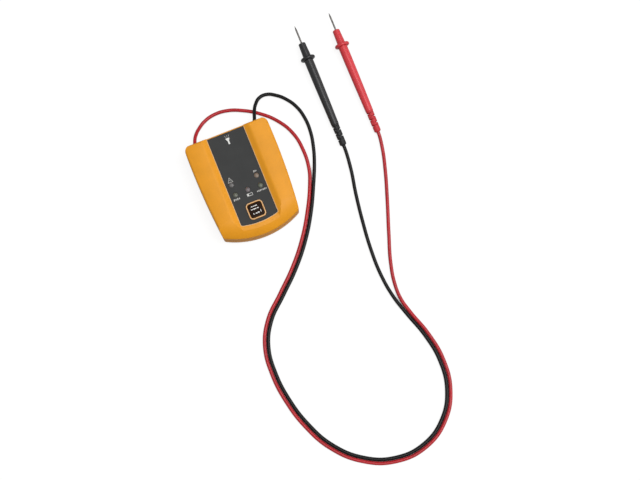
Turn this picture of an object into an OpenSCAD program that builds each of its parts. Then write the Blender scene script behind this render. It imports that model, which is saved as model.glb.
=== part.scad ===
// Two-probe continuity tester, lying on its back on a table.
// X runs across the case, Y towards the end where the leads come out, Z up out of the panel.
// The origin is the centre of the case's flat base.

/* [Case] */
// Length of the case
case_len = 109.5; // [106:0.5:116]
// Width of the case at its widest
case_w = 88.5; // [86:0.5:92]
// Place of the widest point along the case
wide_y = 32; // [26:1:38]
// Radius of the bowed sides, seen from above
side_r = 680; // [600:10:800]
// Height of the parting line between the shells
split_h = 12; // [11.5:0.1:12.5]
// Wall of both shells
wall = 2.2; // [1.8:0.1:2.4]
// Floor of the bottom shell
floor_t = 2.5; // [2.4:0.1:3]
// Radius of the curved bottom edge, seen from above
arc_r = 83; // [79:1:95]
// Radius of the upright corners at the lead end
corner_r = 6.5; // [5:0.25:7]
// Radius of the lower corners
low_corner_r = 3; // [2.5:0.25:3.5]
// Rounding of the top edges
edge_r = 2.6; // [2.5:0.1:3.2]
// Rounding where the case meets the table
foot_r = 1.5; // [1:0.1:2]
// Radius of the gentle crown over each wing
crown_r = 60; // [50:1:90]
// How far the crown reaches in from the side
crown_reach = 16; // [14:0.5:18]
// How far the case falls towards its bottom edge
fall_drop = 9; // [7:0.25:10]
// Length over which it falls
fall_reach = 20; // [17:0.5:22]
// Height of the lip that locates the shells
lip_h = 1.2; // [0.8:0.1:1.6]
// Thickness of that lip
lip_t = 1; // [0.8:0.05:1.1]
// Gap beside and over the lip
lip_gap = 0.12; // [0.08:0.01:0.2]

/* [Panel] */
// Width of the panel film
film_w = 39; // [37:0.1:40]
// Thickness of the panel film
film_t = 0.5; // [0.4:0.05:0.8]
// Gap round the film
film_gap = 0.1; // [0.05:0.05:0.3]
// Distance of the film from the lead end
film_top_gap = 1.2; // [0.9:0.1:1.6]
// Distance of the film from the curved bottom edge
film_low_gap = 11.8; // [11:0.1:13]
// Depth of the film's face below the channel floor
film_sunk = 0.3; // [0.1:0.05:0.5]
// Width of the slope from the channel up to the wing
slope_w = 5.5; // [5:0.1:6]
// Rise of that slope
slope_rise = 3.1; // [2.8:0.1:3.6]
// Radius that rounds the ridge between the slope and the wing
ridge_r = 6; // [3:0.5:8]
// Chamfer at the open lead end of the channel
channel_chamfer = 0.8; // [0.5:0.1:1.2]

/* [Push button] */
// Width of the square key
key_w = 14.2; // [13.5:0.1:14.8]
// Corner radius of the key
key_r = 2.2; // [2:0.1:3]
// Wall of the raised frame round the key
frame_t = 1.2; // [1:0.1:1.5]
// Height of the frame over the film
frame_h = 1; // [0.6:0.1:1.4]
// Height of the key over its frame at rest
key_proud = 0.6; // [0.4:0.1:0.9]
// Gap between the key and its frame
key_gap = 0.3; // [0.25:0.05:0.4]
// Width of the key's retaining flange beyond the opening
key_flange = 1; // [0.8:0.1:1.5]
// Thickness of that flange
key_flange_t = 1.2; // [1:0.1:1.4]
// Travel of the key
key_travel = 0.6; // [0.4:0.05:0.8]
// Distance of the key from the centre of the case
key_y = -30.3; // [-31:0.1:-29.5]
// Radius of the slightly domed key top
key_dome_r = 70; // [50:5:120]

/* [Lamps] */
// Diameter of a lamp body
lamp_d = 5; // [4.8:0.1:5.2]
// Diameter of a lamp's base rim
lamp_rim_d = 5.8; // [5.6:0.1:6]
// Thickness of a lamp's base rim
lamp_rim_t = 1; // [0.8:0.1:1.2]
// Height of a lamp from its base to its top
lamp_h = 8.6; // [8.4:0.05:8.6]
// Rise of the shallow crown on a panel lamp
lamp_crown = 0.6; // [0.4:0.1:1.2]
// Clearance round a lamp in the shell and the film
lamp_gap = 0.15; // [0.1:0.05:0.25]
// Distance of the outer lamps from the centreline
lamp_x = 13.3; // [12.5:0.1:14]
// Place of the upper lamps
lamp_high_y = 2; // [1:0.5:4]
// Place of the lower outer lamps
lamp_low_y = -8.8; // [-10:0.1:-8.4]
// Place of the battery lamp
lamp_mid_y = -8.3; // [-10:0.1:-8.1]
// Distance between the legs of a lamp
leg_pitch = 2.54; // [2.54]
// Thickness of a leg
leg_d = 0.5; // [0.4:0.1:0.6]
// Height of the torch lamp's axis over the circuit board
torch_rise = 3; // [2.95:0.05:3.2]

/* [Circuit board] */
// Thickness of the board
board_t = 1.6; // [1.6:0.1:1.8]
// Distance of the board from the inside of the shells
board_gap = 1; // [0.8:0.1:2]
// Distance of the board from the lead end
board_top_gap = 8; // [7.5:0.25:8.25]
// Width of the switch under the key
switch_w = 6.2; // [6:0.1:6.6]
// Height of the switch body
switch_h = 3.2; // [3:0.1:3.4]
// Diameter of the switch plunger
plunger_d = 3.4; // [3:0.1:3.8]
// Depth of the plunger inside the switch
plunger_in = 1.4; // [1.2:0.1:1.6]
// Diameter of the buzzer
buzzer_d = 12; // [11:0.5:12.5]
// Height of the buzzer
buzzer_h = 8; // [6:0.5:8.5]
// Place of the buzzer across the board
buzzer_x = -30; // [-31:0.5:-28]
// Place of the buzzer along the board
buzzer_y = 10; // [4:1:14]
// Place of the controller chip along the board
chip_y = 16; // [12:1:24]
// Distance of the protecting disc resistors from the centreline
disc_x = 31; // [29:0.5:32]
// Place of the disc resistors along the board
disc_y = 29; // [27:1:32]
// Diameter of a disc resistor
disc_d = 7; // [6:0.5:7.5]
// Thickness of a disc resistor
disc_t = 3; // [2.5:0.1:3.5]
// Place of the smoothing capacitor across the board
can_x = 30; // [26:0.5:31]
// Place of the capacitor along the board
can_y = -8; // [-12:1:2]
// Diameter of the capacitor
can_d = 5; // [4:0.5:6.5]
// Height of the capacitor
can_h = 7; // [5:0.5:8]

/* [Battery bay] */
// Diameter of a cell
cell_d = 10.5; // [10.5]
// Length of a cell over its button
cell_len = 44.5; // [44.5]
// Distance between the two cells' axes
cell_pitch = 11.2; // [11:0.1:11.8]
// Clearance beside the cells
cell_gap = 0.5; // [0.4:0.1:0.8]
// Height of the cover's ribs under the cells
rib_h = 0.9; // [0.6:0.1:1.1]
// Room between the cells and the board
cell_head = 1.7; // [1.4:0.1:1.9]
// Wall of the bay
bay_wall = 1.5; // [1.2:0.1:1.8]
// Thickness of the contact plates
contact_t = 0.4; // [0.3:0.05:0.5]
// Height of the springy dome on a contact
contact_dome = 2.2; // [1.8:0.1:2.6]
// Place of the bay's upper end wall
bay_top_y = 41.5; // [41:0.25:41.75]
// Width of the contacts' tabs through the board
tab_w = 2.2; // [1.6:0.1:2.6]
// Ledge that the battery cover rests on
ledge = 2; // [1.6:0.1:2.4]
// Thickness of the battery cover
cover_t = 1.3; // [1.2:0.05:1.4]
// Clearance round the battery cover
cover_gap = 0.15; // [0.1:0.05:0.25]
// Place of the cover's screw
cover_screw_y = 47.2; // [46.9:0.1:47.4]

/* [Screws] */
// Distance of the upper case screws from the centreline
post_top_x = 17; // [16.8:0.1:17.4]
// Place of the upper case screws
post_top_y = 46.8; // [46.6:0.1:47]
// Distance of the lower case screws from the centreline
post_low_x = 27; // [26:0.5:28]
// Place of the lower case screws
post_low_y = -28; // [-29:0.5:-26]
// Diameter of the screw posts
post_d = 7; // [6.6:0.1:7]
// Diameter of a case screw
screw_d = 2.9; // [2.6:0.1:3]
// Length of a case screw under its head
screw_len = 16; // [15:0.5:16.5]
// Diameter of a case screw's head
screw_head_d = 5.4; // [5:0.1:5.6]
// Height of a case screw's head
screw_head_h = 2.2; // [2:0.1:2.4]
// Depth of the recess for the head
screw_recess = 5; // [4:0.25:5.5]

/* [Leads] */
// Diameter of a lead
lead_d = 3.6; // [3.4:0.1:3.6]
// Distance of the lead exits from the centreline
exit_x = 32; // [31.8:0.1:32.2]
// Diameter of the grommet's neck in the end wall
neck_d = 7; // [6.6:0.1:7.4]
// Diameter of the grommet's rims
rim_d = 9; // [8.6:0.1:9.4]
// Thickness of the grommet's rims
rim_t = 1.2; // [1:0.1:1.4]
// Clearance of the grommet in the wall and round the lead
grommet_gap = 0.05; // [0.03:0.01:0.1]
// Diameter of the bared conductor inside the case
core_d = 1.6; // [1.4:0.1:2]
// Gap between the two leads where they lie side by side
lead_gap = 0.25; // [0.25:0.05:0.8]

/* [Probes] */
// Length of the handle without its needle
handle_len = 113.5; // [110:0.5:118]
// Bare length of the needle
needle_len = 19.3; // [17:0.1:21]
// Diameter of the needle
needle_d = 1.8; // [1.7:0.1:2]
// Length of the needle held inside the handle
needle_in = 20; // [16:1:24]
// Length of the needle's point
point_len = 4; // [3:0.5:6]
// Place of the finger guard, from the lead end of the probe
guard_z = 96.5; // [92:0.5:98]
// Diameter of the finger guard
guard_d = 15.3; // [14.5:0.1:16]
// Diameter of the rounded rim of the guard
guard_rim = 3.4; // [2.8:0.1:3.8]
// Thickness of the guard inside its rim
guard_t = 2.2; // [1.8:0.1:2.4]
// Diameter of the handle behind the guard
grip_d = 9.3; // [8.8:0.1:9.8]
// Diameter of the handle at its boot
tail_d = 7.9; // [7.6:0.1:8.2]
// Diameter of the nose at the guard
nose_d = 8.4; // [8:0.1:8.8]
// Diameter of the nose at its front
front_d = 7.3; // [7:0.1:7.8]
// Length of the flexible boot
boot_len = 22.7; // [22.5:0.1:24]
// Diameter of the boot at the handle
boot_d = 7.4; // [7:0.1:7.5]
// Diameter of the boot at the lead
boot_end_d = 6.9; // [6.6:0.1:7]
// Rounding of the boot's end
boot_round = 1.6; // [1:0.1:1.6]
// Number of slots in the boot
slots = 5; // [3:1:5]
// Width of a slot
slot_w = 1.3; // [1:0.1:1.5]
// Distance between slots
slot_pitch = 3.4; // [3:0.1:3.5]
// Distance of the first slot from the boot's end
slot_start = 6.6; // [6.2:0.1:7]
// Width of the web that bridges each slot on one side
slot_web = 4; // [3.4:0.1:4.6]
// Diameter of the core that the slots reach down to
slot_core = 4.4; // [4:0.1:4.8]
// Place of the black probe across the table
black_x = 107; // [107]
// Place of the red probe across the table
red_x = 144.5; // [144.5]
// Place of both probes' boots along the table
probe_y = 2.5; // [2.5]

/* [Hidden] */
// Small overlap that makes two forms of one piece a single solid
eps = 0.1;
big = 200;
// Angle by which the plan's corner roundings stop short of the circles that they join
corner_trim = 8;
// Between its corners the plan runs out past the sides, this far along from each rounding
out_x = case_w / 2 + 6;
out_run = 20;
// Plan of the case
end_y = case_len / 2;
arc_cy = arc_r - end_y;
side_cx = case_w / 2 - side_r;
// Heights that the stack of cover, cells, board and lamps sets
cell_z = cover_t + rib_h + cell_d / 2;
board_z = cell_z + cell_d / 2 + cell_head;
board_h = board_z + board_t;
film_top = board_h + lamp_h;
channel_h = film_top + film_sunk;
case_h = channel_h + slope_rise;
// Centres of the crown over a wing and of the fall at the bottom end
crown_cz = case_h - crown_r;
fall_r = (pow(fall_reach, 2) + pow(fall_drop, 2)) / (2 * fall_drop);
fall_cz = case_h - fall_r;
// Channel between the wings and the pocket for the film in it
channel_w = film_w + 2 * film_gap;
slope_a = atan(slope_rise / slope_w);
pocket_z = film_top - film_t;
roof_z = pocket_z - wall;
film_top_y = end_y - film_top_gap;
film_r = arc_r - film_low_gap;
// Push button and switch
key_hole_w = key_w + 2 * key_gap;
frame_w = key_hole_w + 2 * frame_t;
frame_top = film_top + frame_h;
key_top = frame_top + key_proud;
flange_top = roof_z - key_gap;
flange_z = flange_top - key_flange_t;
plunger_gap = key_gap;
// Lamps
lamp_hole_d = lamp_d + 2 * lamp_gap;
// Each lamp's place, and the turn of its legs, which keeps them off the walls of the battery bay
lamps = [[-lamp_x, lamp_high_y, 90], [lamp_x, lamp_high_y, 90], [-lamp_x, lamp_low_y, 0],
    [lamp_x, lamp_low_y, 0], [0, lamp_mid_y, 0]];
torch_z = board_h + torch_rise;
torch_base_y = end_y - lamp_h;
torch_leg_y = torch_base_y - 1.2;
// Circuit board
board_inset = wall + board_gap;
board_top_y = end_y - board_top_gap;
leg_hole_d = leg_d + 0.3;
// Battery bay
cover_r = 1.5;
bay_len = cell_len + 2 * contact_t + contact_dome;
bay_low_y = bay_top_y - bay_len;
bay_half = cell_pitch / 2 + cell_d / 2 + cell_gap;
cover_low_y = bay_low_y - ledge;
cover_top_y = cover_screw_y + 3.3;
cover_half = bay_half + ledge;
// The tongue passes between the two cells
tongue_w = 4.2;
tongue_len = 2;
tongue_t = 0.8;
tongue_z = floor_t + 0.1;
cover_screw_d = 2.3;
cover_head_d = 4.6;
cover_screw_len = 7;
cover_boss_d = 6;
cover_boss_top = 10;
// Screws
posts = [[-post_top_x, post_top_y], [post_top_x, post_top_y],
    [-post_low_x, post_low_y], [post_low_x, post_low_y]];
screw_clear = 0.05;
screw_tip = screw_recess + screw_len;
// Grommets and lead tails
grommet_out = end_y + rim_t;
grommet_in = end_y - wall - rim_t;
tail_y = grommet_in - 9;
core_y = tail_y - 4;
// Probes, each tipped up by its guard
collar_z = 3;
tilt = asin((guard_d / 2 - boot_end_d / 2) / (guard_z - collar_z));
boot_z = boot_end_d / 2 * cos(tilt) - collar_z * sin(tilt) + 0.02;
spigot_d = 5.2;
spigot_len = 8;
// Routes of the leads over the table, points chosen by hand along the leads in the photograph
rest_z = lead_d / 2 + 0.1;
run = [[62.4, -22], [48.8, -48.7], [33, -72.9], [13.6, -95.6], [-7.6, -115.4], [-27.5, -134.2], [-40, -157.5],
    [-43.4, -186], [-40.4, -215.2], [-32.4, -243.6], [-17.9, -271.6], [6.2, -295], [35.8, -307.1],
    [67.6, -305.2], [94.2, -288.8], [110.2, -263.2], [114.8, -234], [111, -206], [102.3, -178.2]];
red_start = [[-exit_x, grommet_out, split_h], [-31, 60, 10.6], [-28, 66.4, 7], [-22.2, 73, 3.4],
    [-13.4, 78.8, rest_z], [-1.9, 81.5, rest_z], [11.2, 80.4, rest_z], [25.7, 74.7, rest_z],
    [40.9, 65, rest_z], [54.7, 51.3, rest_z], [64.3, 33.8, rest_z], [67.5, 14, rest_z], [65.6, -7, rest_z]];
black_start = [[exit_x, grommet_out, split_h], [33.5, 60.4, 10.8], [36, 67.4, 7.4], [40, 75, 3.6],
    [46.5, 80.8, rest_z], [54.4, 81.3, rest_z], [63.1, 76.8, rest_z], [71.1, 69.2, rest_z],
    [78, 57.8, rest_z], [81.4, 43.9, rest_z], [81.4, 28.6, rest_z], [78.1, 12.2, rest_z],
    [72.4, -4.5, rest_z]];
red_end = [[100.8, -163, rest_z], [101, -147, rest_z], [105.2, -126.4, rest_z], [115.1, -97.4, rest_z],
    [126.8, -65, rest_z], [136.7, -35.5, rest_z], [142.6, -13, 2.2], [red_x, probe_y, boot_z]];
black_end = [[94.9, -159, rest_z], [91.7, -134, rest_z], [92.2, -106, rest_z], [95.4, -76, rest_z],
    [99.8, -47.5, rest_z], [104.8, -22, 2], [black_x, probe_y, boot_z]];
red_route = concat(red_start, beside(run, (lead_d + lead_gap) / 2), red_end);
black_route = concat(black_start, beside(run, -(lead_d + lead_gap) / 2), black_end);
// Colours
orange = "#e39a2c";
film_grey = "#3e3f42";
steel = "#c8c8c8";

// Points on an arc from angle a0 to angle a1 in n steps
function arc(c, r, a0, a1, n) = [for (i = [0:n])
    let (a = a0 + (a1 - a0) * i / n)
    c + r * [cos(a), sin(a)]];

// A rounded rectangle about the origin, corner by corner
function round_rect(w, l, r) = concat(
    arc([w / 2 - r, l / 2 - r], r, 0, 90, 6), arc([-w / 2 + r, l / 2 - r], r, 90, 180, 6),
    arc([-w / 2 + r, -l / 2 + r], r, 180, 270, 6), arc([w / 2 - r, -l / 2 + r], r, 270, 360, 6));

// The lower point where a circle of radius r1 about c1 crosses one of radius r2 about c2, further along X
function circle_cross(c1, r1, c2, r2) =
    let (
        span = norm(c2 - c1),
        u = (c2 - c1) / span,
        along = (pow(span, 2) + pow(r1, 2) - pow(r2, 2)) / (2 * span)
    )
    c1 + along * u + sqrt(pow(r1, 2) - pow(along, 2)) * [u[1], -u[0]];

// Right half of the plan's two rounded corners, d inside the walls. Each rounding stops corner_trim
// degrees short of the side and of the bottom edge, which the circles of case_form and plan_slab make.
function half_plan(d) =
    let (
        top_r = max(corner_r - d, 0.5),
        top_y = end_y - d - top_r,
        top_x = side_cx + sqrt(pow(side_r - d - top_r, 2) - pow(top_y - wide_y, 2)),
        low_r = max(low_corner_r - d, 0.3),
        low_c = circle_cross([side_cx, wide_y], side_r - d - low_r, [0, arc_cy], arc_r - d - low_r),
        low_a = atan2(low_c[1] - arc_cy, low_c[0]) + corner_trim,
        side_a = atan2(low_c[1] - wide_y, low_c[0] - side_cx) - corner_trim,
        top_a = atan2(top_y - wide_y, top_x - side_cx) + corner_trim
    )
    concat(
        arc(low_c, low_r, low_a, side_a, 5),
        [[out_x, low_c[1] + out_run], [out_x, top_y - out_run]],
        arc([top_x, top_y], top_r, top_a, 90, 8));

// Whole plan: the right half with its mirror image, and a point well past the bottom edge on each side
function plan(d) =
    let (
        right = half_plan(d),
        out = right[0] + [-22, -14]
    )
    concat([out], right, [for (i = [len(right) - 1:-1:0]) [-right[i][0], right[i][1]]], [[-out[0], out[1]]]);

// Section through an outer edge, d inside the skin: wall, rounding, then the arc of radius r over it
// in n steps. It runs in from the wall, and reach is where the arc is level.
function edge_section(d, r, reach, cz, n) =
    let (
        fz = cz + sqrt(pow(r - edge_r, 2) - pow(reach - edge_r, 2)),
        turn = atan2(fz - cz, edge_r - reach)
    )
    concat(
        [[big / 2, 0], [foot_r, 0]],
        arc([foot_r, foot_r], foot_r - min(d, foot_r - 0.2), 255, 180, 5),
        arc([edge_r, fz], edge_r - d, 180, turn, 7),
        arc([reach, cz], r - d, turn - (turn - 90) / (n + 1), 90, n),
        [[big / 2, case_h - d]]);

// Points of route b beside a line of points, off to one side by d
function beside(p, d) = [for (i = [0:len(p) - 1])
    let (
        t = p[min(i + 1, len(p) - 1)] - p[max(i - 1, 0)],
        u = t / norm(t)
    )
    [p[i][0] + u[1] * d, p[i][1] - u[0] * d, rest_z]];

function unit(v) = v / norm(v);

// One ring of a swept tube: n points round p, square to t
function ring(p, t, r, n) =
    let (
        side = unit(cross(t, [0, 0, 1])),
        up = cross(side, t)
    )
    [for (j = [0:n - 1]) p + r * (cos(360 * (j + 0.5) / n) * side + sin(360 * (j + 0.5) / n) * up)];

// A round tube along a route, from direction t0 to direction t1
module sweep(p, r, n, t0, t1) {
    last = len(p) - 1;
    middle = [for (i = [1:last - 1]) unit(unit(p[i + 1] - p[i]) + unit(p[i] - p[i - 1]))];
    tangents = concat([t0], middle, [t1]);
    points = [for (i = [0:last]) each ring(p[i], tangents[i], r, n)];
    skin = [for (i = [0:last - 1], j = [0:n - 1])
        [i * n + j, i * n + (j + 1) % n, (i + 1) * n + (j + 1) % n, (i + 1) * n + j]];
    polyhedron(points, concat(skin, [[for (j = [n - 1:-1:0]) j]], [[for (j = [0:n - 1]) last * n + j]]));
}

// The outer form of the case, d inside its skin
module case_form(d) {
    intersection() {
        linear_extrude(height = case_h + 1) polygon(plan(d));
        translate([0, arc_cy, 0]) rotate_extrude($fn = 180)
            polygon([for (p = edge_section(d, fall_r, fall_reach, fall_cz, 11)) [max(arc_r - p[0], 0), p[1]]]);
        side_form(d);
        mirror([1, 0, 0]) side_form(d);
        translate([-big / 2, 0, 0]) rotate([90, 0, 90]) linear_extrude(height = big)
            polygon([for (p = end_section(d)) [end_y - p[0], p[1]]]);
    }
}

// Section at the lead end: wall and rounded edge under a level top
function end_section(d) = concat(
    [[big, 0], [foot_r, 0]],
    arc([foot_r, foot_r], foot_r - min(d, foot_r - 0.2), 255, 180, 5),
    arc([edge_r, case_h - edge_r], edge_r - d, 180, 90, 7),
    [[big, case_h - d]]);

// The right side wall with its crown, carried round the circle that bows the side
module side_form(d) {
    translate([side_cx, wide_y, 0]) rotate_extrude($fn = 720)
        polygon([for (p = edge_section(d, crown_r, crown_reach, crown_cz, 7)) [side_r - p[0], p[1]]]);
}

// Disc whose edge is the bowed right side, d inside the wall
module side_disc(d, h) {
    translate([side_cx, wide_y, -1]) cylinder(r = side_r - d, h = h, $fn = 720);
}

// A slab with the plan of the case, d inside the walls, from z0 to z1
module plan_slab(d, z0, z1) {
    translate([0, 0, z0]) intersection() {
        linear_extrude(height = z1 - z0) polygon(plan(d));
        translate([0, arc_cy, -1]) cylinder(r = arc_r - d, h = z1 - z0 + 2, $fn = 180);
        side_disc(d, z1 - z0 + 2);
        mirror([1, 0, 0]) side_disc(d, z1 - z0 + 2);
    }
}

// Right half of the channel's section, d under its faces: floor, slope, and the arc that rounds the ridge
function channel_half(d) =
    let (
        z0 = channel_h - d,
        x0 = channel_w / 2 - d / tan(slope_a) + d / sin(slope_a),
        ridge_c = [channel_w / 2 + slope_w + ridge_r * tan(slope_a / 2), case_h - ridge_r],
        ridge = arc(ridge_c, ridge_r - d, 90 + slope_a, 94, 5),
        out = ridge[5] + 8 * [cos(4), sin(4)]
    )
    concat([[x0, z0]], ridge, [out, [out[0], out[1] + 8]]);

// The channel between the wings, cut through both ends, d under its faces
module channel(d) {
    right = channel_half(d);
    translate([0, big / 2, 0]) rotate([90, 0, 0]) linear_extrude(height = big)
        polygon(concat(right, [for (i = [len(right) - 1:-1:0]) [-right[i][0], right[i][1]]]));
}

// Outline of the film, grown by d
module film_outline(d) {
    intersection() {
        translate([-film_w / 2 - d, -end_y]) square([film_w + 2 * d, end_y + film_top_y + d]);
        translate([0, arc_cy]) circle(r = film_r + d, $fn = 180);
    }
}

module grommet_hole(x) {
    translate([x, end_y + 1, split_h]) rotate([90, 0, 0])
        cylinder(d = neck_d + 2 * grommet_gap, h = wall + 2, $fn = 48);
}

// Upper shell with the recessed panel, the wings and the frame of the key
module top_shell() {
    color(orange) difference() {
        union() {
            difference() {
                case_form(0);
                translate([-big / 2, -big / 2, -1]) cube([big, big, split_h + 1]);
                channel(0);
                channel_edge();
                translate([0, 0, pocket_z]) linear_extrude(height = 1) film_outline(film_gap);
                difference() {
                    case_form(wall);
                    translate([0, 0, -film_t - film_sunk]) channel(wall);
                }
                plan_slab(wall - lip_t - lip_gap, split_h - 1, split_h + lip_h + lip_gap);
            }
            translate([0, key_y, roof_z]) linear_extrude(height = frame_top - roof_z)
                polygon(round_rect(frame_w, frame_w, key_r + key_gap + frame_t));
            for (p = posts) top_post(p);
        }
        translate([0, key_y, 0]) linear_extrude(height = case_h)
            polygon(round_rect(key_hole_w, key_hole_w, key_r + key_gap));
        for (p = lamps) translate([p[0], p[1], roof_z - 1]) cylinder(d = lamp_hole_d, h = 5, $fn = 48);
        for (p = posts) translate([p[0], p[1], 0])
            cylinder(d = screw_d + 2 * screw_clear, h = screw_tip + 0.4, $fn = 32);
        translate([0, end_y + 1, torch_z]) rotate([90, 0, 0])
            cylinder(d = lamp_hole_d, h = wall + 2, $fn = 48);
        for (x = [-exit_x, exit_x]) grommet_hole(x);
    }
}

// Chamfer where the channel floor meets the lead end
module channel_edge() {
    c = channel_chamfer;
    translate([-channel_w / 2 - c, 0, 0]) rotate([90, 0, 90]) linear_extrude(height = channel_w + 2 * c)
        polygon([[end_y - c, channel_h + eps], [end_y + 1, channel_h + eps], [end_y + 1, channel_h - c - 1],
            [end_y, channel_h - c]]);
}

// Screw post that hangs from the roof to the board; the lower pair reaches up under the wings
module top_post(p) {
    top = p[1] > 0 ? pocket_z - eps : case_h - wall + 0.6;
    translate([p[0], p[1], board_h]) cylinder(d = post_d, h = top - board_h, $fn = 48);
}

// Lower shell with the battery bay, the screw posts and the lip
module bottom_shell() {
    color(orange) difference() {
        union() {
            difference() {
                case_form(0);
                translate([-big / 2, -big / 2, split_h]) cube([big, big, case_h]);
                plan_slab(wall, floor_t, split_h + 1);
            }
            difference() {
                plan_slab(wall - lip_t, split_h - eps, split_h + lip_h);
                plan_slab(wall, split_h - 1, split_h + lip_h + 1);
            }
            lip_root();
            for (p = posts) translate([p[0], p[1], eps]) cylinder(d = post_d, h = board_z - eps, $fn = 48);
            bay_walls();
            translate([0, cover_screw_y, eps]) cylinder(d = cover_boss_d, h = cover_boss_top - eps, $fn = 48);
        }
        translate([-bay_half, bay_low_y, -1]) cube([2 * bay_half, bay_len, board_h]);
        translate([0, 0, -1]) linear_extrude(height = cover_t + 1) cover_outline(cover_gap);
        translate([-tongue_w / 2 - cover_gap, bay_low_y - tongue_len - cover_gap, tongue_z - cover_gap])
            cube([tongue_w + 2 * cover_gap, tongue_len + 1, tongue_t + 2 * cover_gap]);
        for (p = posts) translate([p[0], p[1], -1]) {
            cylinder(d = screw_d + 0.5, h = board_h, $fn = 32);
            cylinder(d = screw_head_d + 0.6, h = screw_recess + 1, $fn = 32);
        }
        translate([0, cover_screw_y, 0])
            cylinder(d = cover_screw_d + 2 * screw_clear, h = cover_screw_len + 0.5, $fn = 32);
        for (x = [-exit_x, exit_x]) grommet_hole(x);
    }
}

// Thin band that ties the lip to the inside of the wall
module lip_root() {
    difference() {
        plan_slab(wall - lip_t, split_h - 1, split_h);
        plan_slab(wall, split_h - 2, split_h + 1);
    }
}

module bay_walls() {
    translate([-bay_half - bay_wall, bay_low_y - bay_wall, eps])
        cube([2 * (bay_half + bay_wall), bay_len + 2 * bay_wall, board_z - eps]);
}

// Outline of the battery cover, grown by d
module cover_outline(d) {
    l = cover_top_y - cover_low_y + 2 * d;
    translate([0, (cover_top_y + cover_low_y) / 2]) polygon(round_rect(2 * (cover_half + d), l, cover_r + d));
}

// Battery cover: a plate with two ribs under the cells, a tongue and a sunk screw hole
module battery_cover() {
    rib_w = 2 * bay_half - 1;
    color(orange) difference() {
        union() {
            linear_extrude(height = cover_t) cover_outline(0);
            for (y = [bay_low_y + 9, bay_top_y - 11]) translate([-rib_w / 2, y, cover_t - eps])
                cube([rib_w, 2, rib_h + eps]);
            translate([-tongue_w / 2, bay_low_y - tongue_len, tongue_z])
                cube([tongue_w, tongue_len + 2.5, tongue_t]);
            translate([-tongue_w / 2, bay_low_y + 0.6, eps]) cube([tongue_w, 1.9, tongue_z + tongue_t - eps]);
        }
        translate([0, cover_screw_y, -1]) cylinder(d = cover_screw_d + 2 * screw_clear, h = 4, $fn = 32);
        translate([0, cover_screw_y, -eps])
            cylinder(d1 = cover_head_d + 2 * eps, d2 = cover_screw_d, h = cover_t + eps, $fn = 32);
    }
}

// Printed film over the panel, with openings for the key's frame and the lamps
module panel_film() {
    color(film_grey) translate([0, 0, pocket_z]) linear_extrude(height = film_t) difference() {
        film_outline(0);
        translate([0, key_y]) polygon(round_rect(frame_w + 2 * film_gap, frame_w + 2 * film_gap,
            key_r + key_gap + frame_t + film_gap));
        for (p = lamps) translate([p[0], p[1]]) circle(d = lamp_hole_d, $fn = 48);
    }
}

// Key with its retaining flange and a slightly domed top
module button_key() {
    flange_w = key_hole_w + 2 * key_flange;
    color("#20140e") translate([0, key_y, 0]) union() {
        intersection() {
            translate([0, 0, flange_top - eps]) linear_extrude(height = key_top - flange_top + 1)
                polygon(round_rect(key_w, key_w, key_r));
            translate([0, 0, key_top - key_dome_r]) sphere(r = key_dome_r, $fn = 120);
        }
        translate([0, 0, flange_z]) linear_extrude(height = key_flange_t)
            polygon(round_rect(flange_w, flange_w, key_r + key_gap + key_flange));
    }
}

// Plunger of the switch; it moves with the key
module switch_plunger() {
    low = board_h + switch_h - plunger_in;
    color("white") translate([0, key_y, low]) cylinder(d = plunger_d, h = flange_z - low, $fn = 32);
}

module switch_body() {
    color("#222222") difference() {
        translate([-switch_w / 2, key_y - switch_w / 2, board_h]) cube([switch_w, switch_w, switch_h]);
        translate([0, key_y, board_h + switch_h - plunger_in - key_travel - key_gap])
            cylinder(d = plunger_d + 2 * plunger_gap, h = switch_h, $fn = 32);
    }
}

// A round lamp standing on its base rim, its top crowned by the given rise
module lamp(legs, crown) {
    top_r = (pow(lamp_d / 2, 2) + pow(crown, 2)) / (2 * crown);
    edge_a = acos(lamp_d / 2 / top_r);
    rotate_extrude($fn = 48) polygon(concat(
        [[0, 0], [lamp_rim_d / 2, 0], [lamp_rim_d / 2, lamp_rim_t], [lamp_d / 2, lamp_rim_t]],
        arc([0, lamp_h - top_r], top_r, edge_a, 90, 9)));
    for (x = [-leg_pitch / 2, leg_pitch / 2]) translate([x, 0, -legs])
        cylinder(d = leg_d, h = legs + eps, $fn = 16);
}

module panel_lamp(i, tint) {
    color(tint) translate([lamps[i][0], lamps[i][1], board_h]) rotate([0, 0, lamps[i][2]])
        lamp(board_t + 0.8, lamp_crown);
}
module lamp_high_left() { panel_lamp(0, "#8a8a86"); }
module lamp_high_right() { panel_lamp(1, "#9c8468"); }
module lamp_low_left() { panel_lamp(2, "#8a8a80"); }
module lamp_low_right() { panel_lamp(3, "#7c8a74"); }
module lamp_battery() { panel_lamp(4, "#8a7470"); }

// Torch lamp lying at the lead end, its legs bent down into the board
module torch_lamp() {
    color("white") {
        translate([0, torch_base_y, torch_z]) rotate([-90, 0, 0])
            lamp(torch_base_y - torch_leg_y, lamp_d / 2);
        for (x = [-leg_pitch / 2, leg_pitch / 2]) translate([x, torch_leg_y, 0]) {
            translate([0, 0, board_z - 0.8]) cylinder(d = leg_d, h = torch_z - board_z + 0.8, $fn = 16);
            translate([0, 0, torch_z]) sphere(d = leg_d, $fn = 16);
        }
    }
}

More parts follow.
